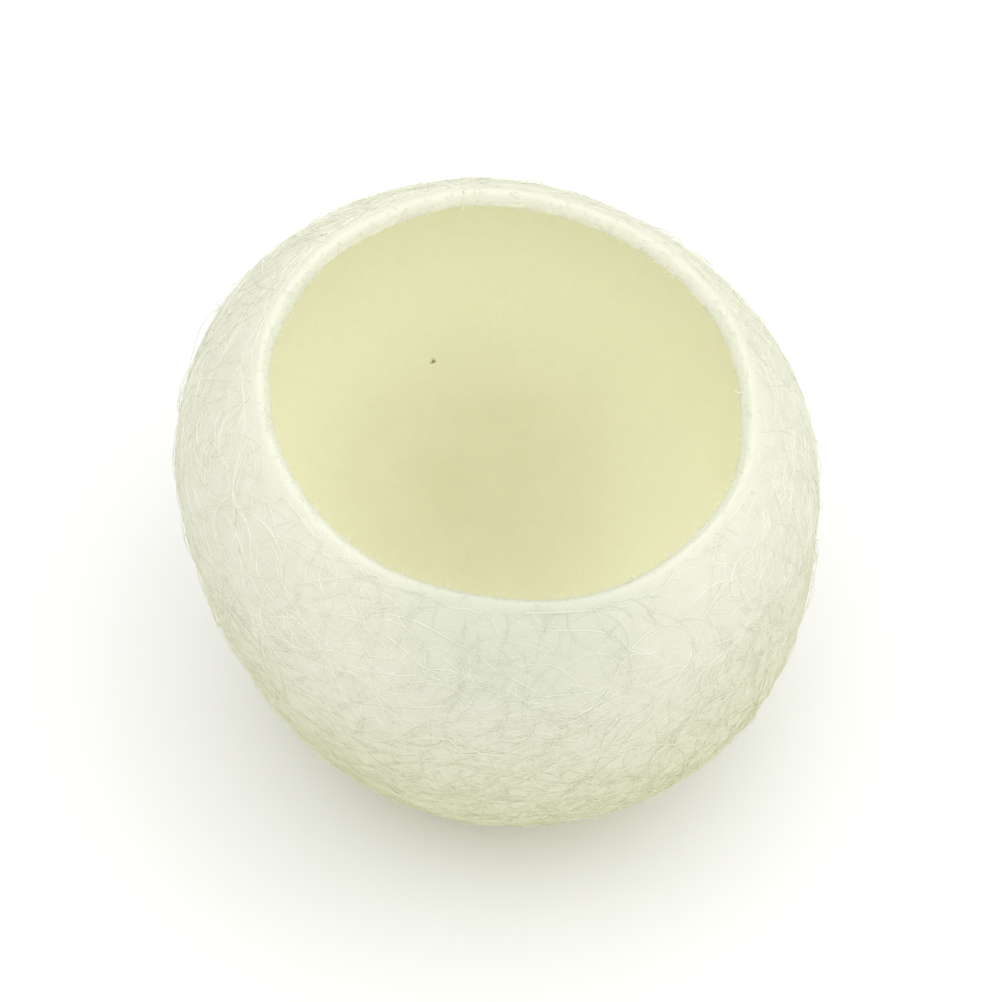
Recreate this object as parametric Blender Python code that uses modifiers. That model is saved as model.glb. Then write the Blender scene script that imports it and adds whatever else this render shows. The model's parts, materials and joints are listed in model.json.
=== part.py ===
"""A silk cocoon with one end cut off, so that a fingertip goes in.

Metres, +Z up. The origin is the middle of the small flat spot that the cocoon rests on.
The cut mouth is on top. -Y is the side seen first, and +X is to its right.
"""

import math

import bmesh
import bpy
from mathutils import Vector, noise

MM = 0.001

# The spun shape, as the silkworm left it.
BELLY_RADIUS = 10.15 * MM  # mean radius of the widest ring
BELLY_HEIGHT = 12.4 * MM  # that ring's height above the rest
DOME_BLUNTNESS = 2.35  # 2 would make the closed end an ellipsoid, more makes it blunter
SHOULDER_REACH = 7.65 * MM  # above the belly, where the shoulder's curve would meet the axis
WALL = 0.6 * MM  # thickness of the matted silk
OVAL_SHARE = 0.02  # the belly is that much wider one way, and narrower the other
OVAL_TURN = math.radians(-35)  # the wide way, from +X
LEAN_LEFT = 0.083  # the axis drifts to -X by this much of each rise
LEAN_BACK = 0.015  # and to +Y by this much

# The closed end balances under the cocoon's weight, so its tip is off the leaning axis.
AXIS_RIGHT = 0.9 * MM  # carried down, the axis would meet the rest this far to +X of the tip
AXIS_FRONT = 0.27 * MM  # and this far to -Y
TIP_BEND = 7.0 * MM  # height above the rest by which the wall has come round to the axis

# The small spot where the closed end was pressed flat.
FLAT_RADIUS = 2.3 * MM

# The scissor cut.
MOUTH_HEIGHT = 17.45 * MM  # mean height of the cut edge
CUT_HIGHER_LEFT = 0.68 * MM  # the edge is that much over its mean at -X, and under it at +X
CUT_HIGHER_BACK = 0.55 * MM  # and at +Y, and under it at -Y
SNIP_WAVE = 0.2 * MM  # height of the waviness that the snips left
SNIPS_ROUND = 1.6  # how closely those waves follow each other

# Shallow lumps and dents in the wall.
LUMP_HEIGHT = 0.12 * MM
LUMP_WIDTH = 5.0 * MM
LUMP_FREE_HEIGHT = 1.8 * MM  # they fade out below this, towards the flat spot

SEGMENTS = 64
WALL_RINGS = 28
FLAT_RINGS = 2
MERGE = 0.00005


def clear_scene():
    for obj in list(bpy.data.objects):
        bpy.data.objects.remove(obj, do_unlink=True)


def new_collection(name):
    collection = bpy.data.collections.new(name)
    bpy.context.scene.collection.children.link(collection)
    return collection


def smooth_step(share):
    share = min(max(share, 0.0), 1.0)
    return share * share * (3 - 2 * share)


def dome_depth():
    """Depth of the closed end below the belly, had its tip not been pressed flat."""
    pressed_share = (FLAT_RADIUS / BELLY_RADIUS) ** DOME_BLUNTNESS
    return BELLY_HEIGHT / (1 - pressed_share) ** (1 / DOME_BLUNTNESS)


def skin_radius(height):
    """Mean outer radius at a height: a blunt dome below the belly, an elliptic shoulder above it."""
    if height < BELLY_HEIGHT:
        below = (BELLY_HEIGHT - height) / dome_depth()
        return BELLY_RADIUS * (1 - below**DOME_BLUNTNESS) ** (1 / DOME_BLUNTNESS)
    above = (height - BELLY_HEIGHT) / SHOULDER_REACH
    return BELLY_RADIUS * math.sqrt(1 - above * above)


def cut_height(angle):
    """Height of the cut edge in a direction from the axis."""
    across, back = math.cos(angle), math.sin(angle)
    wave = noise.noise(Vector((across, back, 3.0)) * SNIPS_ROUND)
    return MOUTH_HEIGHT - CUT_HIGHER_LEFT * across + CUT_HIGHER_BACK * back + SNIP_WAVE * wave


def lump(angle, height):
    """How far the wall bulges or dents at this place."""
    around = Vector((math.cos(angle), math.sin(angle), 0)) * BELLY_RADIUS
    place = (around + Vector((0, 0, height))) / LUMP_WIDTH
    return LUMP_HEIGHT * noise.noise(place) * smooth_step(height / LUMP_FREE_HEIGHT)


def skin_point(angle, rise):
    """A point of the outer skin: angle round the axis, rise from 0 at the flat spot to 1 at the cut."""
    height = rise * cut_height(angle)
    oval = 1 + OVAL_SHARE * math.cos(2 * (angle - OVAL_TURN))
    radius = skin_radius(height) * oval + lump(angle, height)
    on_axis = smooth_step(height / TIP_BEND)
    return Vector(
        (
            radius * math.cos(angle) - LEAN_LEFT * height + AXIS_RIGHT * on_axis,
            radius * math.sin(angle) + LEAN_BACK * height - AXIS_FRONT * on_axis,
            height,
        )
    )


def turned_profile():
    """The half outline, from the cut down the outer side and in over the flat spot to the axis."""
    points = []
    for i in range(WALL_RINGS):
        rise = (1 + math.cos(math.pi * i / WALL_RINGS)) / 2
        height = rise * MOUTH_HEIGHT
        points.append(Vector((skin_radius(height), 0, height)))
    for i in range(FLAT_RINGS):
        points.append(Vector((FLAT_RADIUS * (1 - i / FLAT_RINGS), 0, 0)))
    points.append(Vector((0, 0, 0)))
    return points


def turned_skin(name):
    """The half outline turned about the axis into one open skin."""
    points = turned_profile()
    mesh = bpy.data.meshes.new(name)
    mesh.from_pydata(points, [(i, i + 1) for i in range(len(points) - 1)], [])
    obj = bpy.data.objects.new(name, mesh)
    bpy.context.scene.collection.objects.link(obj)
    screw = obj.modifiers.new("Turn", "SCREW")
    screw.axis = "Z"
    screw.steps = screw.render_steps = SEGMENTS
    screw.use_merge_vertices = True
    screw.merge_threshold = MERGE
    graph = bpy.context.evaluated_depsgraph_get()
    skin = bpy.data.meshes.new_from_object(obj.evaluated_get(graph))
    bpy.data.objects.remove(obj, do_unlink=True)
    bpy.data.meshes.remove(mesh)
    return skin


def shape_as_grown(skin):
    """Moves each point of the turned skin to where the grown and cut one is."""
    shape = bmesh.new()
    shape.from_mesh(skin)
    bmesh.ops.remove_doubles(shape, verts=shape.verts, dist=MERGE)
    for vert in shape.verts:
        angle = math.atan2(vert.co.y, vert.co.x)
        if vert.co.z > MERGE:
            vert.co = skin_point(angle, vert.co.z / MOUTH_HEIGHT)
        elif vert.co.xy.length > MERGE:
            share = vert.co.xy.length / FLAT_RADIUS
            vert.co = skin_point(angle, 0) * share
    bmesh.ops.recalc_face_normals(shape, faces=shape.faces)
    shape.to_mesh(skin)
    shape.free()


def silk_material():
    """Undyed silk: a matt, warm cream."""
    material = bpy.data.materials.new("silk")
    material.use_nodes = True
    shader = material.node_tree.nodes["Principled BSDF"]
    shader.inputs["Base Color"].default_value = (0.86, 0.84, 0.68, 1)
    shader.inputs["Roughness"].default_value = 0.8
    shader.inputs["Metallic"].default_value = 0
    return material


def build_cocoon(collection):
    """The whole cocoon: one wall of matted silk, closed below and cut open above."""
    skin = turned_skin("cocoon")
    shape_as_grown(skin)
    skin.name = "cocoon"
    skin.materials.append(silk_material())
    cocoon = bpy.data.objects.new("cocoon", skin)
    collection.objects.link(cocoon)
    wall = cocoon.modifiers.new("Wall", "SOLIDIFY")
    wall.thickness = WALL
    wall.offset = -1
    wall.use_even_offset = True
    skin.shade_smooth()
    return cocoon


def main():
    clear_scene()
    build_cocoon(new_collection("Silk cocoon"))


main()
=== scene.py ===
"""A silk cocoon with one end cut off: its matted wall, laid threads, loose floss and frayed cut.

The whole is in metres, +Z up, and stands at the origin on the small flat spot of its closed end.
The cut mouth is on top. -Y is the front, and +X is to its right.
"""

import json
import math
import random

import bmesh
import bpy
from bpy.props import FloatProperty, FloatVectorProperty, IntProperty, PointerProperty
from mathutils import Matrix, Vector, noise
from mathutils.bvhtree import BVHTree
from mathutils.kdtree import KDTree

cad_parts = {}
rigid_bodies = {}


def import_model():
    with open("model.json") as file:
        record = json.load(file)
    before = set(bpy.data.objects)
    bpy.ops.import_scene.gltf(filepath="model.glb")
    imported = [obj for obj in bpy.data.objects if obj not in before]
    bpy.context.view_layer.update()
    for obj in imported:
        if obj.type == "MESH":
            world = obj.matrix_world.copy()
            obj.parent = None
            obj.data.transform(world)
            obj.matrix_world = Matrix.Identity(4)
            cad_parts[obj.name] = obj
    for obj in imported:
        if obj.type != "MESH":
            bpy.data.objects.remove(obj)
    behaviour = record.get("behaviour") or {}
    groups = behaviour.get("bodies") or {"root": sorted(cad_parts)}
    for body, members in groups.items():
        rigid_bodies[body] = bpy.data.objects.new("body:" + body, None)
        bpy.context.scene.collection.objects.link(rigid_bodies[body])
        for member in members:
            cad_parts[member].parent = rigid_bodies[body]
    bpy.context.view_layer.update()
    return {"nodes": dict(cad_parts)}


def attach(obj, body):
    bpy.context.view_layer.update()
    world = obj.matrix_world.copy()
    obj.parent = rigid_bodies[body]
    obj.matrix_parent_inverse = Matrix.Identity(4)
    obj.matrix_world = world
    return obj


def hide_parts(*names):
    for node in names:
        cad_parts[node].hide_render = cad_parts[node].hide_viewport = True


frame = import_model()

bl_info = {
    "name": "Cut Silk Cocoon",
    "version": (1, 0, 0),
    "blender": (4, 5, 0),
    "location": "3D View > Sidebar > Cocoon",
    "description": "Dresses a cut silk cocoon with matted silk, laid threads, floss and a frayed cut",
    "category": "Add Mesh",
}

MM = 0.001


def linear(hex_code):
    """Turns an sRGB colour such as f2f1e2 into the linear values that a shader takes."""
    channels = [int(hex_code[i : i + 2], 16) / 255 for i in (0, 2, 4)]
    return [c / 12.92 if c <= 0.04045 else ((c + 0.055) / 1.055) ** 2.4 for c in channels] + [1.0]


# ---------------------------------------------------------------- settings


class WallSettings(bpy.types.PropertyGroup):
    face_size: FloatProperty(
        name="Face Size",
        description="Side of one face of the wall's mesh",
        default=0.182 * MM,
        unit="LENGTH",
    )
    pebble_size: FloatProperty(
        name="Pebble Size",
        description="Width of the skin's small swellings",
        default=0.85 * MM,
        unit="LENGTH",
    )
    pebble_height: FloatProperty(
        name="Pebble Height",
        description="Height of the skin's small swellings",
        default=0.075 * MM,
        unit="LENGTH",
    )
    wrinkle_size: FloatProperty(
        name="Wrinkle Size",
        description="Spacing of the skin's fine wrinkles",
        default=0.42 * MM,
        unit="LENGTH",
    )
    wrinkle_height: FloatProperty(
        name="Wrinkle Height",
        description="Height of the skin's fine wrinkles",
        default=0.06 * MM,
        unit="LENGTH",
    )
    lining_size: FloatProperty(
        name="Lining Ripple Size",
        description="Width of the lining's ripples",
        default=1.3 * MM,
        unit="LENGTH",
    )
    lining_height: FloatProperty(
        name="Lining Ripple Height",
        description="Height of the lining's ripples",
        default=0.05 * MM,
        unit="LENGTH",
    )


class ThreadSettings(bpy.types.PropertyGroup):
    # A silk filament is 0.02 to 0.03 mm wide. It is drawn a little wider here, so that it shows.
    width: FloatProperty(
        name="Thread Width",
        description="Drawn width of one laid thread",
        default=0.034 * MM,
        unit="LENGTH",
    )
    step: FloatProperty(
        name="Step",
        description="Distance between two points along a thread",
        default=0.28 * MM,
        unit="LENGTH",
    )
    loop: FloatProperty(
        name="Loop Length",
        description="Thread laid in one figure of eight",
        default=15.0 * MM,
        unit="LENGTH",
    )
    swing: FloatProperty(
        name="Swing",
        description="How far the heading swings to each side",
        default=2.1,
        subtype="ANGLE",
    )
    length: FloatProperty(
        name="Thread Length",
        description="Longest stretch laid before a thread dives",
        default=90.0 * MM,
        unit="LENGTH",
    )
    count: IntProperty(
        name="Threads a Layer",
        description="Number of threads in each layer",
        default=100,
    )


class FlossSettings(bpy.types.PropertyGroup):
    width: FloatProperty(
        name="Floss Width",
        description="Drawn width of one stray thread",
        default=0.024 * MM,
        unit="LENGTH",
    )
    count: IntProperty(
        name="Strays",
        description="Number of stray threads on the skin",
        default=1100,
    )
    height: FloatProperty(
        name="Floss Height",
        description="How far most strays stand off the skin",
        default=0.13 * MM,
        unit="LENGTH",
    )
    fray_count: IntProperty(
        name="Frayed Ends",
        description="Number of cut ends at the mouth",
        default=520,
    )
    fray_length: FloatProperty(
        name="Fray Length",
        description="Length of most cut ends",
        default=0.3 * MM,
        unit="LENGTH",
    )


class SilkSettings(bpy.types.PropertyGroup):
    skin: FloatVectorProperty(
        name="Skin",
        description="Matted silk outside",
        subtype="COLOR",
        size=4,
        default=linear("e4e5d4"),
    )
    # Painted shade in the skin's pits, darker and yellower.
    pit_shade: FloatVectorProperty(
        name="Pits",
        description="Silk in the skin's pits",
        subtype="COLOR",
        size=4,
        default=linear("dcdcc4"),
    )
    rim: FloatVectorProperty(
        name="Rim",
        description="Pressed silk along the cut",
        subtype="COLOR",
        size=4,
        default=linear("e6e7d4"),
    )
    # Painted shade under the front of the mouth.
    front_shade: FloatVectorProperty(
        name="Held Silk",
        description="Silk under the front of the mouth",
        subtype="COLOR",
        size=4,
        default=linear("d2d5c1"),
    )
    # Painted shade towards the closed end, darker and yellower low down.
    low_shade: FloatVectorProperty(
        name="Closed End",
        description="Gummier silk low down",
        subtype="COLOR",
        size=4,
        default=linear("dbdbb9"),
    )
    lining: FloatVectorProperty(
        name="Lining",
        description="Papery silk inside",
        subtype="COLOR",
        size=4,
        default=linear("f9f9e7"),
    )
    # Painted shade low in the hollow.
    deep_shade: FloatVectorProperty(
        name="Bottom",
        description="Lining where the pupa lay",
        subtype="COLOR",
        size=4,
        default=linear("e2dfc9"),
    )
    thread: FloatVectorProperty(
        name="Thread",
        description="Clean thread on the skin",
        subtype="COLOR",
        size=4,
        default=linear("eff0e1"),
    )
    stain: FloatVectorProperty(
        name="Stain",
        description="Dark speck on the lining",
        subtype="COLOR",
        size=4,
        default=linear("6f6a38"),
    )


class StageSettings(bpy.types.PropertyGroup):
    elevation: FloatProperty(
        name="Elevation",
        description="Camera's height above the horizon",
        default=math.radians(55),
        subtype="ANGLE",
    )
    distance: FloatProperty(
        name="Distance",
        description="Camera's distance from the cocoon",
        default=160.0 * MM,
        unit="LENGTH",
    )
    lens: FloatProperty(
        name="Lens",
        description="Focal length in millimetres",
        default=178.0,
    )
    aim_height: FloatProperty(
        name="Aim Height",
        description="Height that the camera looks at",
        default=10.5 * MM,
        unit="LENGTH",
    )
    floor: FloatVectorProperty(
        name="Floor",
        description="Pale matt floor",
        subtype="COLOR",
        size=4,
        default=linear("f8f8f8"),
    )


# ---------------------------------------------------------------- helpers


def deselect_all():
    for item in bpy.context.view_layer.objects:
        item.select_set(False)


def work_on(piece):
    """Leaves only this piece selected and active."""
    deselect_all()
    piece.select_set(True)
    bpy.context.view_layer.objects.active = piece


def apply_modifier(piece, name, kind, **settings):
    """Adds a modifier to the piece with these settings and applies it."""
    work_on(piece)
    modifier = piece.modifiers.new(name, kind)
    for key, value in settings.items():
        setattr(modifier, key, value)
    bpy.ops.object.modifier_apply(modifier=name)


def note(mesh, name, values):
    """Keeps one number for each point of the mesh, under a name that materials can read."""
    mesh.attributes.new(name, "FLOAT", "POINT").data.foreach_set("value", values)


def add_node(tree, kind, inputs=(), **settings):
    """Adds a shader node with its settings and, for each input, a value or the socket that feeds it."""
    node = tree.nodes.new("ShaderNode" + kind)
    for key, value in settings.items():
        setattr(node, key, value)
    for key, value in dict(inputs).items():
        if isinstance(value, bpy.types.NodeSocket):
            tree.links.new(value, node.inputs[key])
        else:
            node.inputs[key].default_value = value
    return node


def new_material(name):
    """A material with only its Principled shader and output, and the two things to build on."""
    material = bpy.data.materials.new(name)
    material.use_nodes = True
    return material, material.node_tree, material.node_tree.nodes["Principled BSDF"]


def dress(piece, material):
    piece.data.materials.clear()
    piece.data.materials.append(material)


# ---------------------------------------------------------------- materials

# A colour Mix node's sockets: its share, its two colours and its result.
SHARE, FIRST, SECOND, MIXED = 0, 6, 7, 2

SILK_IOR = 1.54
THREAD_SILK = "spun_silk_thread"

SPECK_PLACE = (-2.3 * MM, 8.3 * MM, 6.88 * MM)  # on the lining, at the back
# The middle of the painted shade low in the hollow.
DEEP_SHADE_PLACE = (-0.5 * MM, 6.2 * MM, 2.6 * MM)  # inside, low at the back
# The middle of the painted shade under the front of the mouth.
FRONT_SHADE_PLACE = (0.5 * MM, -8.3 * MM, 16.8 * MM)  # outside, under the front of the mouth

# The skin and its threads share one patch of painted shade in front, under the mouth, but less of it shows
# on the clean threads.
FRONT_SHADE_ON_SKIN = 0.8
FRONT_SHADE_ON_THREADS = 0.45

# The pits' painted shade: the deepest pits take this share of it.
SHADE_IN_PITS = 0.5  # share of the pits' colour that the deepest ones take

# Heights between which the painted shade low down grows to its most.
SHADE_FROM = 14.0 * MM
SHADE_MOST = 4.0 * MM

# The mat's fibres are 0.03 mm wide. They are drawn this wide, because finer ones would not show.
FIBRE_WIDTH = 0.07 * MM
FIBRE_LENGTH = 7 * FIBRE_WIDTH
FIBRE_TURNS = ((0.3, 0.2, 0.1), (1.4, 0.9, 0.0))  # two ways that the fibres run, in radians


def matted_silk():
    """Raw silk bonded by its own gum. It is matt and cream outside, and smoother and papery inside."""
    material, tree, shader = new_material("gum_bonded_raw_silk")
    place = add_node(tree, "TexCoord").outputs["Object"]
    lining = add_node(tree, "Attribute", attribute_name="in_hollow").outputs["Fac"]
    sides = {SHARE: lining, FIRST: skin_colour(tree, place), SECOND: lining_colour(tree, place)}
    both = add_node(tree, "Mix", sides, data_type="RGBA").outputs[MIXED]
    tree.links.new(with_speck(tree, place, both), shader.inputs["Base Color"])

    fibres = matted_fibres(tree, place)
    bump = add_node(tree, "Bump", {"Height": fibres, "Distance": 0.02 * MM, "Strength": 0.6})
    tree.links.new(bump.outputs["Normal"], shader.inputs["Normal"])

    # The gummed lining has a dull sheen, where the loose outside has none.
    rough = add_node(tree, "MapRange", {"Value": lining, "To Min": 0.85, "To Max": 0.62})
    tree.links.new(rough.outputs[0], shader.inputs["Roughness"])
    shader.inputs["IOR"].default_value = SILK_IOR
    shader.inputs["Specular IOR Level"].default_value = 0.25
    return material


def skin_colour(tree, place):
    """The outside's cream, with painted shade in the pits, which are a little darker and yellower."""
    silk = bpy.context.scene.cocoon_silk
    sunk = add_node(tree, "Attribute", attribute_name="in_pit").outputs["Fac"]
    pitted = add_node(tree, "Math", {0: sunk, 1: SHADE_IN_PITS}, operation="MULTIPLY").outputs[0]
    even = shaded_below(tree, place, silk.skin)
    colours = {SHARE: pitted, FIRST: even, SECOND: tuple(silk.pit_shade)}
    skin = add_node(tree, "Mix", colours, data_type="RGBA").outputs[MIXED]
    # Along the cut the silk is pressed and clean, so it is paler.
    pressed = add_node(tree, "Attribute", attribute_name="near_cut").outputs["Fac"]
    colours = {SHARE: pressed, FIRST: skin, SECOND: tuple(silk.rim)}
    skin = add_node(tree, "Mix", colours, data_type="RGBA").outputs[MIXED]
    # Painted shade under the front of the mouth.
    return shaded_in_front(tree, place, skin, FRONT_SHADE_ON_SKIN)


def lining_colour(tree, place):
    """The inside's near white. Light turns many times in the hollow, which makes it look yellow."""
    silk = bpy.context.scene.cocoon_silk
    # Painted shade low at the back of the hollow, in soft patches of about 3 mm.
    patches = add_node(tree, "TexNoise", {"Vector": place, "Scale": 1 / (3.0 * MM), "Detail": 2.0})
    spread = {"From Min": 0.35, "From Max": 0.7, "To Min": 0.85, "To Max": 1.1}
    patchy = add_node(tree, "MapRange", {"Value": patches.outputs["Fac"], **spread}).outputs[0]
    lain = fading_from(tree, place, DEEP_SHADE_PLACE, full=0.5 * MM, none=9.0 * MM)
    shade_in_hollow = add_node(tree, "Math", {0: lain, 1: patchy}, operation="MULTIPLY", use_clamp=True).outputs[0]
    colours = {SHARE: shade_in_hollow, FIRST: tuple(silk.lining), SECOND: tuple(silk.deep_shade)}
    return add_node(tree, "Mix", colours, data_type="RGBA").outputs[MIXED]


def with_speck(tree, place, colour):
    """The colour, with one ragged speck of dirt on the lining, a quarter of a millimetre wide."""
    away = add_node(tree, "VectorMath", {0: place, 1: SPECK_PLACE}, operation="DISTANCE").outputs["Value"]
    ragged = add_node(tree, "TexNoise", {"Vector": place, "Scale": 1 / (0.15 * MM), "Detail": 3.0})
    spread = {"From Min": 0.3, "From Max": 0.7, "To Min": 0.06 * MM, "To Max": 0.2 * MM}
    reach = add_node(tree, "MapRange", {"Value": ragged.outputs["Fac"], **spread}).outputs[0]
    fade = {"Value": away, "From Min": 0.03 * MM, "From Max": reach, "To Min": 0.85, "To Max": 0.0}
    share = add_node(tree, "MapRange", fade, interpolation_type="SMOOTHSTEP").outputs[0]
    colours = {SHARE: share, FIRST: colour, SECOND: tuple(bpy.context.scene.cocoon_silk.stain)}
    return add_node(tree, "Mix", colours, data_type="RGBA").outputs[MIXED]


def fading_from(tree, place, centre, full, none, most=1.0):
    """A share that is at its most within one distance of the centre, and fades to 0 at another."""
    away = add_node(tree, "VectorMath", {0: place, 1: centre}, operation="DISTANCE").outputs["Value"]
    fade = {"Value": away, "From Min": full, "From Max": none, "To Min": most, "To Max": 0.0}
    return add_node(tree, "MapRange", fade, interpolation_type="SMOOTHSTEP").outputs[0]


def shaded_below(tree, place, colour):
    """The colour, turning darker and yellower towards the closed end: painted shade."""
    height = add_node(tree, "SeparateXYZ", {0: place}).outputs["Z"]
    fade = {"Value": height, "From Min": SHADE_FROM, "From Max": SHADE_MOST, "To Min": 0.0, "To Max": 1.0}
    share = add_node(tree, "MapRange", fade).outputs[0]
    low_shade = tuple(bpy.context.scene.cocoon_silk.low_shade)
    colours = {SHARE: share, FIRST: tuple(colour), SECOND: low_shade}
    return add_node(tree, "Mix", colours, data_type="RGBA").outputs[MIXED]


def shaded_in_front(tree, place, colour, most):
    """The colour, greyer by at most this share under the front of the mouth: painted shade, in a patch that
    fades out.
    """
    front_shade = fading_from(tree, place, FRONT_SHADE_PLACE, full=1.0 * MM, none=6.5 * MM, most=most)
    colours = {SHARE: front_shade, FIRST: colour, SECOND: tuple(bpy.context.scene.cocoon_silk.front_shade)}
    return add_node(tree, "Mix", colours, data_type="RGBA").outputs[MIXED]


def matted_fibres(tree, place):
    """A relief of fine fibres, pressed together, which run two ways."""
    size = (FIBRE_WIDTH, FIBRE_WIDTH, FIBRE_LENGTH)
    ways = []
    for turn in FIBRE_TURNS:
        stretched = {"Vector": place, "Rotation": turn, "Scale": size}
        fibre = add_node(tree, "Mapping", stretched, vector_type="TEXTURE").outputs[0]
        way = add_node(tree, "TexNoise", {"Vector": fibre, "Scale": 1.0, "Detail": 0.0})
        ways.append(way.outputs["Fac"])
    return add_node(tree, "Math", {0: ways[0], 1: ways[1]}, operation="ADD").outputs[0]


def clean_silk():
    """Single silk threads, free of the mat. They are paler than it, smooth, and catch a soft light."""
    silk = bpy.context.scene.cocoon_silk
    material, tree, shader = new_material(THREAD_SILK)
    place = add_node(tree, "TexCoord").outputs["Object"]
    # Here and there a thread still has its gum, for about a millimetre.
    tone = add_node(tree, "TexNoise", {"Vector": place, "Scale": 1 / (1.1 * MM), "Detail": 2.0})
    spread = {"From Min": 0.35, "From Max": 0.7, "To Min": 0.0, "To Max": 0.6}
    gummed = add_node(tree, "MapRange", {"Value": tone.outputs["Fac"], **spread}).outputs[0]
    # Both tones turn darker and yellower towards the closed end, as painted shade.
    clean, dull = shaded_below(tree, place, silk.thread), shaded_below(tree, place, silk.skin)
    colours = {SHARE: gummed, FIRST: clean, SECOND: dull}
    colour = add_node(tree, "Mix", colours, data_type="RGBA").outputs[MIXED]
    # The threads take a weaker share of the painted shade under the front of the mouth.
    tree.links.new(shaded_in_front(tree, place, colour, FRONT_SHADE_ON_THREADS), shader.inputs["Base Color"])
    shader.inputs["Roughness"].default_value = 0.6
    shader.inputs["IOR"].default_value = SILK_IOR
    shader.inputs["Specular IOR Level"].default_value = 0.3
    return material


def thread_silk():
    """The one material that all threads share."""
    return bpy.data.materials.get(THREAD_SILK) or clean_silk()


def pale_floor():
    """Matt white card, which gives the soft light from below."""
    material, tree, shader = new_material("matt_white_card")
    shader.inputs["Base Color"].default_value = tuple(bpy.context.scene.cocoon_stage.floor)
    shader.inputs["Roughness"].default_value = 0.9
    shader.inputs["Specular IOR Level"].default_value = 0.1
    return material


# ---------------------------------------------------------------- the wall

MERGE = 0.005 * MM  # joins the plain solid's loose triangles

# Seen from this point, low in the hollow, every part of the lining has the wall behind it.
HEART = Vector((0, 0, 4 * MM))
OFF_THE_SKIN = 0.04 * MM  # a ray starts this far out, so that it misses the point's own faces

# The whole cut is higher than this.
CUT_LOWEST = 15 * MM

# The scissors pressed the skin smooth as far as this from the cut.
CUT_REACH = 1.0 * MM
CALMED_ON_CUT = 0.8  # share of the relief that is gone on the cut itself

# Threads end in an uneven band along the cut, where the skin is this near to it.
BARE_FROM = 0.7
BARE_UNEVEN = 0.25
BARE_SPACING = 1.5 * MM

# Under the flat spot the wall ends this high, and threads fill the rest.
THREAD_BED = 0.03 * MM


def copied_solid(node, name):
    """A free copy of a solid's mesh with its loose triangles merged into quads."""
    mesh = frame["nodes"][node].data.copy()
    mesh.name = name
    piece = bpy.data.objects.new(name, mesh)
    bpy.context.scene.collection.objects.link(piece)
    work_on(piece)
    bpy.ops.object.mode_set(mode="EDIT")
    bpy.ops.mesh.select_all(action="SELECT")
    bpy.ops.mesh.remove_doubles(threshold=MERGE)
    bpy.ops.mesh.tris_convert_to_quads()
    bpy.ops.object.mode_set(mode="OBJECT")
    return piece


def even_mesh(piece, size):
    """Rounds the piece off and rebuilds it of faces of one size."""
    apply_modifier(piece, "Round", "SUBSURF", levels=2, render_levels=2)
    work_on(piece)
    piece.data.remesh_voxel_size = size
    piece.data.remesh_voxel_adaptivity = 0
    bpy.ops.object.voxel_remesh()
    # The rebuilt mesh has a few folded faces at the cut's corners.
    apply_modifier(piece, "Ease", "SMOOTH", factor=0.5, iterations=3)


def on_cut(place, normal):
    """True on the cut edge: near the mouth, and facing inwards across it."""
    return place.z > CUT_LOWEST and normal.x * place.x + normal.y * place.y < 0


def mark_sides(piece):
    """Sorts the wall's points into the skin, with the cut, and the lining, which has the wall behind it."""
    mesh = piece.data
    tree = BVHTree.FromPolygons([v.co for v in mesh.vertices], [p.vertices for p in mesh.polygons])
    sides = {"skin": [], "lining": []}
    for point in mesh.vertices:
        outward = (point.co - HEART).normalized()
        hit = tree.ray_cast(point.co + outward * OFF_THE_SKIN, outward)[0]
        sides["lining" if hit else "skin"].append(point.index)
    for side, points in sides.items():
        piece.vertex_groups.new(name=side).add(points, 1.0, "REPLACE")
    mark_cut(piece, sides["skin"])
    lining = set(sides["lining"])
    note(mesh, "in_hollow", [float(index in lining) for index in range(len(mesh.vertices))])
    return sides


def mark_cut(piece, skin_points):
    """Notes how near each point is to the cut, 1 on it and 0 out of reach, and calms the relief there."""
    points = piece.data.vertices
    cut = [i for i in skin_points if on_cut(points[i].co, points[i].normal)]
    tree = KDTree(len(cut))
    for i in cut:
        tree.insert(points[i].co, i)
    tree.balance()
    values = [0.0] * len(points)
    for i in skin_points:
        distance = tree.find(points[i].co)[2]
        nearness = 1 - distance / CUT_REACH
        if nearness > 0:
            values[i] = nearness
            piece.vertex_groups["skin"].add([i], 1 - CALMED_ON_CUT * nearness, "REPLACE")
    note(piece.data, "near_cut", values)


def skin_tree(piece, sides):
    """The skin that threads are laid on, without the lining and the bare band along the cut."""
    mesh = piece.data
    lining = set(sides["lining"])
    near_cut = mesh.attributes["near_cut"].data
    faces = []
    for face in mesh.polygons:
        bare = BARE_FROM + BARE_UNEVEN * noise.noise(face.center / BARE_SPACING)
        if not lining.intersection(face.vertices) and max(near_cut[i].value for i in face.vertices) < bare:
            faces.append(face.vertices)
    return BVHTree.FromPolygons([v.co for v in mesh.vertices], faces)


def relief(piece, name, side, size, height, basis, detail):
    """Pushes one side of the wall in and out by a pattern of this size and height."""
    texture = bpy.data.textures.new(name, "CLOUDS")
    texture.noise_scale = size
    texture.noise_basis = basis
    texture.noise_depth = detail
    apply_modifier(
        piece,
        name,
        "DISPLACE",
        texture=texture,
        texture_coords="LOCAL",
        vertex_group=side,
        strength=height,
        mid_level=0.5,
    )


def mark_pits(piece, smooth, normals, depth):
    """Notes how far each point has sunk under the smooth wall, from 0 to 1."""
    values = []
    for point, before, normal in zip(piece.data.vertices, smooth, normals):
        sunk = (before - point.co).dot(normal) / depth
        values.append(min(max(0.5 + sunk, 0.0), 1.0))
    note(piece.data, "in_pit", values)


def keep_off_floor(piece, lowest=0.0):
    """Presses flat what stands out under the cocoon."""
    for point in piece.data.vertices:
        point.co.z = max(point.co.z, lowest)


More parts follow.
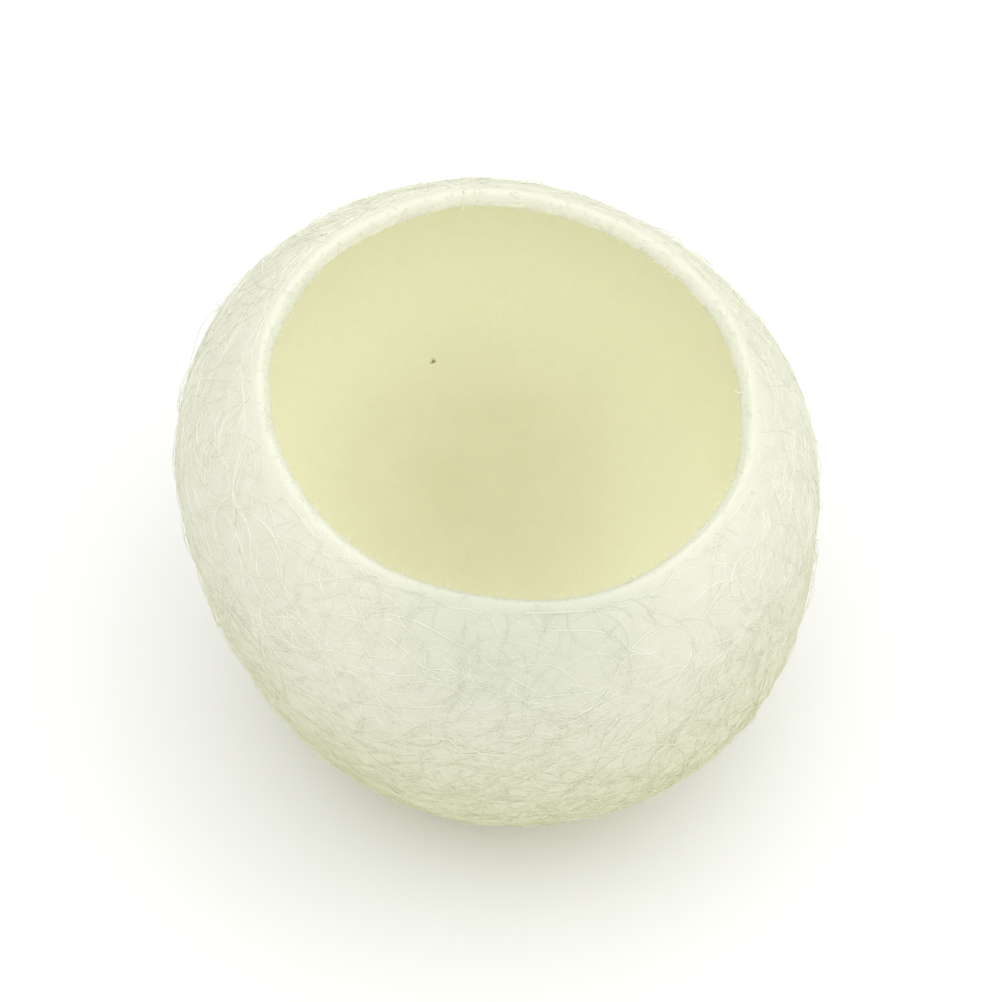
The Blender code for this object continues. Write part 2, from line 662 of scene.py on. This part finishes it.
def build_wall(settings):
    """The matted wall, its points sorted into skin and lining, and the skin to lay threads on."""
    wall = copied_solid("cocoon", "matted_wall")
    even_mesh(wall, settings.face_size)
    sides = mark_sides(wall)
    smooth = [point.co.copy() for point in wall.data.vertices]
    normals = [point.normal.copy() for point in wall.data.vertices]
    pebbles, wrinkles, ripples = settings.pebble_height, settings.wrinkle_height, settings.lining_height
    relief(wall, "Pebbles", "skin", settings.pebble_size, -pebbles, "VORONOI_F1", 1)
    relief(wall, "Wrinkles", "skin", settings.wrinkle_size, wrinkles, "ORIGINAL_PERLIN", 2)
    relief(wall, "Ripples", "lining", settings.lining_size, ripples, "ORIGINAL_PERLIN", 2)
    mark_pits(wall, smooth, normals, pebbles)
    keep_off_floor(wall, THREAD_BED)
    work_on(wall)
    bpy.ops.object.shade_smooth()
    return wall, sides, skin_tree(wall, sides)


# ---------------------------------------------------------------- threads

# Each layer of laid threads, and the middle height of its threads over the skin in millimetres.
LAYERS = (
    ("threads_a", -0.01),
    ("threads_b", -0.005),
    ("threads_c", 0.0),
    ("threads_d", 0.005),
    ("threads_e", 0.01),
)

# Laid threads differ from each other by these shares of their settings.
LOOP_SHARES = (0.6, 1.3)
SWING_SHARES = (0.7, 1.1)
LENGTH_SHARES = (0.4, 1.0)
MOST_DRIFT = 0.05  # radians that a thread's heading turns away in each millimetre
MOST_LIFT = 0.7  # a thread ends where its next point would be this share of a step off the skin
FEWEST_POINTS = 12  # a shorter thread is dropped
WANDER = 0.032 * MM  # how far a laid thread sinks and rises as it goes
WANDER_SPACING = 1.3 * MM
WIDTH_MEAN = 0.9  # share of the setting
WIDTH_VARIES = 0.3
WIDTH_PACE = 0.15  # how fast the width varies, for each step
FAR_APART = 99  # gives each thread its own place in the noise

SHORTEST_STEP = 0.3  # in thread widths
CAP_MERGE = 0.00005 * MM  # joins a thread's end caps to it

STRAY_STEPS = 9
STRAY_TIP = 0.5  # share of the width that is left at its last point
STRAY_BEND = 0.9 * MM  # tightest radius of a stray thread's curl along the skin
STRAY_ROOT = 0.02 * MM  # how deep its ends are in the skin
STRAY_HEIGHTS = (0.4, 1.6)  # shares of the setting
STRAY_LENGTHS = (0.9, 3.2)  # mm
FREE_ENDS = 0.3  # share of the strays that end in the air
FREE_RISE = 1.4  # a free end rises faster as it goes, by this power

WISP_THREADS = 16
WISP_RADIUS = 10 * MM  # they start on the skin nearest to here, by the turn and the height
WISP_TURNS = (140, 168)  # degrees round the cocoon, from +X
WISP_HEIGHTS = (10.0, 13.5)  # mm up the cocoon
WISP_LENGTHS = (2.0, 4.5)  # mm
WISP_LIFTS = (0.2, 0.42)  # mm off the skin
WISP_SLOPE = 0.6  # most that they climb or fall, as a share of their way round

FRAY_STEPS = 4
FRAY_ROOT = 0.03 * MM  # how deep a cut end starts in the cut
FRAY_LENGTHS = (0.3, 1.3)  # shares of the setting
FRAY_SPREAD = 0.9  # how far the ends point away from the cut's normal
FRAY_LEAST_OUT = 0.1  # an end that points out of the cut by less than this is turned outwards
FRAY_TURNED_OUT = 0.5
FRAY_CURL = 0.35  # how much an end turns at each step
FRAY_TAPER = [1.0, 1.0, 0.9, 0.8, 0.5]  # shares of the width, from root to tip

# A laid layer's random draws are seeded by its name, and the others' by these.
STRAY_SEED, WISP_SEED, FRAY_SEED = 11, 12, 13


def along(heading, up):
    """The heading without what points out of the skin."""
    return (heading - up * heading.dot(up)).normalized()


def lay_thread(skin, place, heading, settings, seed):
    """Follows one thread over the skin. It swings from side to side in figures of eight, up to the cut."""
    points, ups, swung = [], [], 0.0
    drift = seed.uniform(-MOST_DRIFT, MOST_DRIFT) / MM
    phase = seed.uniform(0, 2 * math.pi)
    loop = settings.loop * seed.uniform(*LOOP_SHARES)
    swing = settings.swing * seed.uniform(*SWING_SHARES)
    for i in range(int(seed.uniform(*LENGTH_SHARES) * settings.length / settings.step)):
        near, up = skin.find_nearest(place)[:2]
        if near is None or (place - near).length > settings.step * MOST_LIFT:
            break
        run = i * settings.step
        turn = swing * math.sin(2 * math.pi * run / loop + phase) + drift * run
        heading = along(heading, up)
        heading = Matrix.Rotation(turn - swung, 3, up) @ heading if i else heading
        swung = turn
        points.append(near)
        ups.append(up)
        place = near + heading * settings.step
    return points, ups


def thread_section(width):
    """A three-cornered outline, which is enough for a thread this fine."""
    deselect_all()
    bpy.ops.mesh.primitive_circle_add(vertices=3, radius=width / 2)
    bpy.ops.object.convert(target="CURVE")
    section = bpy.context.active_object
    section.name = "thread_section"
    return section


def running_on(points, shares, width):
    """The thread without repeated points, up to where it turns back, as it may at the edge of the skin."""
    kept = [0]
    for i in range(1, len(points)):
        step = points[i] - points[kept[-1]]
        if step.length < SHORTEST_STEP * width:
            continue
        if len(kept) > 1 and step.dot(points[kept[-1]] - points[kept[-2]]) < 0:
            break
        kept.append(i)
    return [points[i] for i in kept], [shares[i] for i in kept]


def join_caps(mesh):
    """Joins each thread's end caps to it. The edit mode tool's least distance is too long for this."""
    shape = bmesh.new()
    shape.from_mesh(mesh)
    bmesh.ops.remove_doubles(shape, verts=shape.verts, dist=CAP_MERGE)
    shape.to_mesh(mesh)
    shape.free()


def spin_threads(name, threads, width):
    """Makes one mesh piece of many threads, each a list of points and of their shares of the width."""
    section = thread_section(width)
    curve = bpy.data.curves.new(name, "CURVE")
    curve.dimensions = "3D"
    curve.bevel_mode = "OBJECT"
    curve.bevel_object = section
    curve.use_fill_caps = True
    for points, shares in threads:
        points, shares = running_on(points, shares, width)
        if len(points) < 2:
            continue
        spline = curve.splines.new("POLY")
        spline.points.add(len(points) - 1)
        lain = [(point.x, point.y, max(point.z, width / 2), 1.0) for point in points]
        spline.points.foreach_set("co", [value for point in lain for value in point])
        spline.points.foreach_set("radius", shares)
    piece = bpy.data.objects.new(name, curve)
    bpy.context.scene.collection.objects.link(piece)
    work_on(piece)
    bpy.ops.object.convert(target="MESH")
    piece = bpy.context.active_object
    bpy.data.objects.remove(section, do_unlink=True)
    join_caps(piece.data)
    # Smooth shading would darken so sharp a section.
    bpy.ops.object.shade_flat()
    keep_off_floor(piece)
    return piece


def random_start(skin_points, seed):
    """A place on the skin, and a direction along it."""
    place, normal = skin_points[seed.randrange(len(skin_points))]
    across = normal.orthogonal().normalized()
    return place, Matrix.Rotation(seed.uniform(0, 2 * math.pi), 3, normal) @ across


def laid_layer(name, skin, skin_points, settings, level, seed):
    """One layer of long threads, which sink into the mat and come up again as they go."""
    threads = []
    while len(threads) < settings.count:
        place, heading = random_start(skin_points, seed)
        points, ups = lay_thread(skin, place, heading, settings, seed)
        if len(points) < FEWEST_POINTS:
            continue
        offset = Vector((seed.uniform(0, FAR_APART), seed.uniform(0, FAR_APART), 0))
        lifted, shares = [], []
        for i, (point, up) in enumerate(zip(points, ups)):
            wander = noise.noise(offset + Vector((0, 0, i * settings.step / WANDER_SPACING)))
            lifted.append(point + up * (level + WANDER * wander))
            shares.append(WIDTH_MEAN + WIDTH_VARIES * noise.noise(offset + Vector((i * WIDTH_PACE, 0, 0))))
        threads.append((lifted, shares))
    return spin_threads(name, threads, settings.width)


def stray_thread(skin, place, heading, length, height, free_end, seed):
    """A thread that leaves the skin and comes back to it, or ends in the air."""
    bend = seed.uniform(-1.0, 1.0) / STRAY_BEND
    points = []
    for i in range(STRAY_STEPS + 1):
        near, up = skin.find_nearest(place)[:2]
        run = i / STRAY_STEPS
        rise = run**FREE_RISE if free_end else math.sin(math.pi * run)
        points.append(near + up * (height * rise - STRAY_ROOT))
        heading = Matrix.Rotation(bend * length / STRAY_STEPS, 3, up) @ along(heading, up)
        place = near + heading * (length / STRAY_STEPS)
    return points, [1.0] * STRAY_STEPS + [STRAY_TIP]


def stray_floss(name, skin, skin_points, settings, seed):
    """Fine stray threads all over the skin, which soften its outline."""
    threads = []
    for _ in range(settings.count):
        place, heading = random_start(skin_points, seed)
        height = settings.height * seed.uniform(*STRAY_HEIGHTS)
        length = seed.uniform(*STRAY_LENGTHS) * MM
        free_end = seed.random() < FREE_ENDS
        threads.append(stray_thread(skin, place, heading, length, height, free_end, seed))
    return spin_threads(name, threads, settings.width)


def loose_wisp(name, skin, settings, seed):
    """A wisp of floss that has come away at the left, as high as the belly."""
    threads = []
    for _ in range(WISP_THREADS):
        turn = math.radians(seed.uniform(*WISP_TURNS))
        height = seed.uniform(*WISP_HEIGHTS) * MM
        start = Vector((WISP_RADIUS * math.cos(turn), WISP_RADIUS * math.sin(turn), height))
        place, up = skin.find_nearest(start)[:2]
        around = up.cross(Vector((0, 0, 1))).normalized() * seed.choice((-1, 1))
        heading = around + Vector((0, 0, seed.uniform(-WISP_SLOPE, WISP_SLOPE)))
        length = seed.uniform(*WISP_LENGTHS) * MM
        lift = seed.uniform(*WISP_LIFTS) * MM
        threads.append(stray_thread(skin, place, heading, length, lift, False, seed))
    return spin_threads(name, threads, settings.width)


def frayed_cut(name, cut_points, settings, seed):
    """Short cut ends that stick out of the cut edge."""
    threads = []
    for _ in range(settings.fray_count):
        place, normal = cut_points[seed.randrange(len(cut_points))]
        stray = Vector([seed.gauss(0, 1) for _ in range(3)])
        heading = (normal + FRAY_SPREAD * stray).normalized()
        if heading.dot(normal) < FRAY_LEAST_OUT:
            heading += normal * FRAY_TURNED_OUT
        curl = Vector([seed.gauss(0, 1) for _ in range(3)]) * FRAY_CURL
        step = settings.fray_length * seed.uniform(*FRAY_LENGTHS) / FRAY_STEPS
        points = [place - normal * FRAY_ROOT]
        for _ in range(FRAY_STEPS):
            heading = (heading + curl).normalized()
            points.append(points[-1] + heading * step)
        threads.append((points, FRAY_TAPER))
    return spin_threads(name, threads, settings.width)


# ---------------------------------------------------------------- the stage

FLOOR_SIZE = 3.0
SKY_STRENGTH = 0.7
LAMP_PLACE = (0.035, -0.035, 0.3)
LAMP_SIZE = 0.5
LAMP_POWER = 0.88


def aim(thing, target):
    thing.rotation_euler = (target - thing.location).to_track_quat("-Z", "Y").to_euler()


def soft_light(scene):
    """An even white tent with one broad lamp overhead, a little in front and to the right."""
    world = bpy.data.worlds.new("white_tent")
    world.use_nodes = True
    sky = world.node_tree.nodes["Background"]
    sky.inputs["Color"].default_value = (1.0, 1.0, 1.0, 1.0)
    sky.inputs["Strength"].default_value = SKY_STRENGTH
    scene.world = world
    bpy.ops.object.light_add(type="AREA", location=LAMP_PLACE)
    lamp = bpy.context.active_object
    lamp.name = "overhead_lamp"
    lamp.data.shape = "SQUARE"
    lamp.data.size = LAMP_SIZE
    lamp.data.energy = LAMP_POWER
    aim(lamp, Vector((0, 0, 0)))


def camera_on(scene, settings):
    """The camera looks down into the mouth from in front."""
    target = Vector((0, 0, settings.aim_height))
    back = Vector((0, -math.cos(settings.elevation), math.sin(settings.elevation)))
    bpy.ops.object.camera_add(location=target + back * settings.distance)
    camera = bpy.context.active_object
    camera.data.lens = settings.lens
    camera.data.sensor_width = 36.0
    camera.data.clip_start = 0.01
    aim(camera, target)
    scene.camera = camera


# ---------------------------------------------------------------- operators

_made = {}


def made(name):
    """What the wall's operator has left for the others."""
    if name not in _made:
        raise RuntimeError("The matted wall has to be built first")
    return _made[name]


def hand_over(piece, material):
    """Dresses a finished piece, lets it ride on the cocoon's body and stand for the plain solid."""
    dress(piece, material)
    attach(piece, "root")
    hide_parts("cocoon")


class COCOON_OT_wall(bpy.types.Operator):
    """Builds the matted wall over the plain solid"""

    bl_idname = "cocoon.wall"
    bl_label = "Matted Wall"

    def execute(self, context):
        wall, sides, skin = build_wall(context.scene.cocoon_wall)
        hand_over(wall, matted_silk())
        points = wall.data.vertices
        _made["skin"] = skin
        _made["skin_points"] = [(points[i].co.copy(), points[i].normal.copy()) for i in sides["skin"]]
        _made["cut_points"] = [(p, n) for p, n in _made["skin_points"] if on_cut(p, n)]
        return {"FINISHED"}


class COCOON_OT_threads(bpy.types.Operator):
    """Lays five layers of long threads over the skin"""

    bl_idname = "cocoon.threads"
    bl_label = "Laid Threads"

    def execute(self, context):
        settings = context.scene.cocoon_threads
        skin, skin_points = made("skin"), made("skin_points")
        for name, level in LAYERS:
            piece = laid_layer(name, skin, skin_points, settings, level * MM, random.Random(name))
            hand_over(piece, thread_silk())
        return {"FINISHED"}


class COCOON_OT_floss(bpy.types.Operator):
    """Adds the stray floss, the wisp that has come away and the frayed cut"""

    bl_idname = "cocoon.floss"
    bl_label = "Floss and Frayed Cut"

    def execute(self, context):
        settings = context.scene.cocoon_floss
        skin, skin_points, cut_points = made("skin"), made("skin_points"), made("cut_points")
        floss = stray_floss("stray_floss", skin, skin_points, settings, random.Random(STRAY_SEED))
        wisp = loose_wisp("loose_wisp", skin, settings, random.Random(WISP_SEED))
        fray = frayed_cut("frayed_cut", cut_points, settings, random.Random(FRAY_SEED))
        for piece in (floss, wisp, fray):
            hand_over(piece, thread_silk())
        return {"FINISHED"}


class COCOON_OT_stage(bpy.types.Operator):
    """Sets the pale floor, the soft light and the camera"""

    bl_idname = "cocoon.stage"
    bl_label = "Floor, Light and Camera"

    def execute(self, context):
        deselect_all()
        bpy.ops.mesh.primitive_plane_add(size=FLOOR_SIZE)
        floor = context.active_object
        floor.name = "floor"
        dress(floor, pale_floor())
        soft_light(context.scene)
        camera_on(context.scene, context.scene.cocoon_stage)
        context.scene.view_settings.view_transform = "Standard"
        # Light has to be followed through many turns inside a white hollow.
        context.scene.cycles.diffuse_bounces = 8
        # One lamp needs no sorting.
        context.scene.cycles.use_light_tree = False
        return {"FINISHED"}


class COCOON_PT_panel(bpy.types.Panel):
    bl_idname = "COCOON_PT_panel"
    bl_label = "Cut Silk Cocoon"
    bl_space_type = "VIEW_3D"
    bl_region_type = "UI"
    bl_category = "Cocoon"

    def draw(self, context):
        for operator, group in (
            (COCOON_OT_wall, "cocoon_wall"),
            (COCOON_OT_threads, "cocoon_threads"),
            (COCOON_OT_floss, "cocoon_floss"),
            (COCOON_OT_stage, "cocoon_stage"),
            (None, "cocoon_silk"),
        ):
            box = self.layout.box()
            settings = getattr(context.scene, group)
            for name in settings.bl_rna.properties.keys():
                if name not in ("rna_type", "name"):
                    box.prop(settings, name)
            if operator:
                box.operator(operator.bl_idname)


SETTINGS = {
    "cocoon_wall": WallSettings,
    "cocoon_threads": ThreadSettings,
    "cocoon_floss": FlossSettings,
    "cocoon_silk": SilkSettings,
    "cocoon_stage": StageSettings,
}
OPERATORS = (COCOON_OT_wall, COCOON_OT_threads, COCOON_OT_floss, COCOON_OT_stage)
CLASSES = (*SETTINGS.values(), *OPERATORS, COCOON_PT_panel)


def register():
    for item in CLASSES:
        bpy.utils.register_class(item)
    for name, group in SETTINGS.items():
        setattr(bpy.types.Scene, name, PointerProperty(type=group))


def unregister():
    for name in SETTINGS:
        delattr(bpy.types.Scene, name)
    for item in reversed(CLASSES):
        bpy.utils.unregister_class(item)


def main():
    register()
    bpy.ops.cocoon.wall()
    bpy.ops.cocoon.threads()
    bpy.ops.cocoon.floss()
    bpy.ops.cocoon.stage()


if __name__ == "__main__":
    main()
